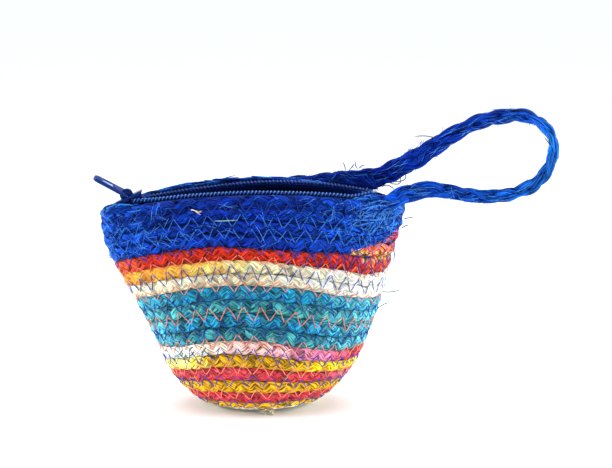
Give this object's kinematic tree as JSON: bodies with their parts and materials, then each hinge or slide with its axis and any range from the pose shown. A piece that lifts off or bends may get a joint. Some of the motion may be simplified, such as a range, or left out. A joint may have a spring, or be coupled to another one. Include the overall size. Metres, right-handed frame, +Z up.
{
  "type": "plaited straw coin purse",
  "caption": "Small pouch of dyed plaited straw rows sewn edge to edge round a flat base, with a coil zip along its pinched mouth, a hinged zip pull and a plaited wrist loop.",
  "frame": {"origin": "middle of the flat base, on the surface that the purse stands on", "axes": "+X along the mouth towards the wrist loop, +Y from the front to the back, +Z up"},
  "size_m": [0.1772, 0.0582, 0.1128],
  "materials": {
    "natural_straw": "dyed plaited straw, satin fibres",
    "yellow_straw": "dyed plaited straw, satin fibres",
    "crimson_straw": "dyed plaited straw, satin fibres",
    "pink_straw": "dyed plaited straw, satin fibres",
    "green_straw": "dyed plaited straw, satin fibres",
    "teal_straw": "dyed plaited straw, satin fibres",
    "cream_straw": "dyed plaited straw, satin fibres",
    "orange_straw": "dyed plaited straw, satin fibres",
    "red_straw": "dyed plaited straw, satin fibres",
    "blue_straw": "dyed plaited straw, satin fibres",
    "zip_tape": "woven zip tape",
    "zip_coil": "nylon coil, low gloss",
    "slider_paint": "enamel over cast metal"
  },
  "bodies": {
    "purse": {"base_coil": "natural_straw", "row_01_natural": "natural_straw", "row_02_yellow": "yellow_straw", "row_03_crimson": "crimson_straw", "row_04_yellow": "yellow_straw", "row_05_crimson": "crimson_straw", "row_06_yellow": "yellow_straw", "row_07_pink": "pink_straw", "row_08_green": "green_straw", "row_09_teal": "teal_straw", "row_10_green": "green_straw", "row_11_teal": "teal_straw", "row_12_cream": "cream_straw", "row_13_orange": "orange_straw", "row_14_red": "red_straw", "row_15_blue": "blue_straw", "row_16_blue": "blue_straw", "row_17_blue": "blue_straw", "row_18_blue": "blue_straw", "zip_tape_front": "zip_tape", "zip_tape_back": "zip_tape", "zip_coil_front": "zip_coil", "zip_coil_back": "zip_coil", "wrist_loop": "blue_straw", "zip_slider": "slider_paint"},
    "pull": {"zip_pull": "slider_paint"}
  },
  "joints": [
    {"name": "pull_hinge", "type": "hinge", "parent": "purse", "child": "pull", "pos_m": [-0.05084, 0, 0.08101], "axis": [0, 1, 0], "range_deg": [-52, 120]}
  ]
}
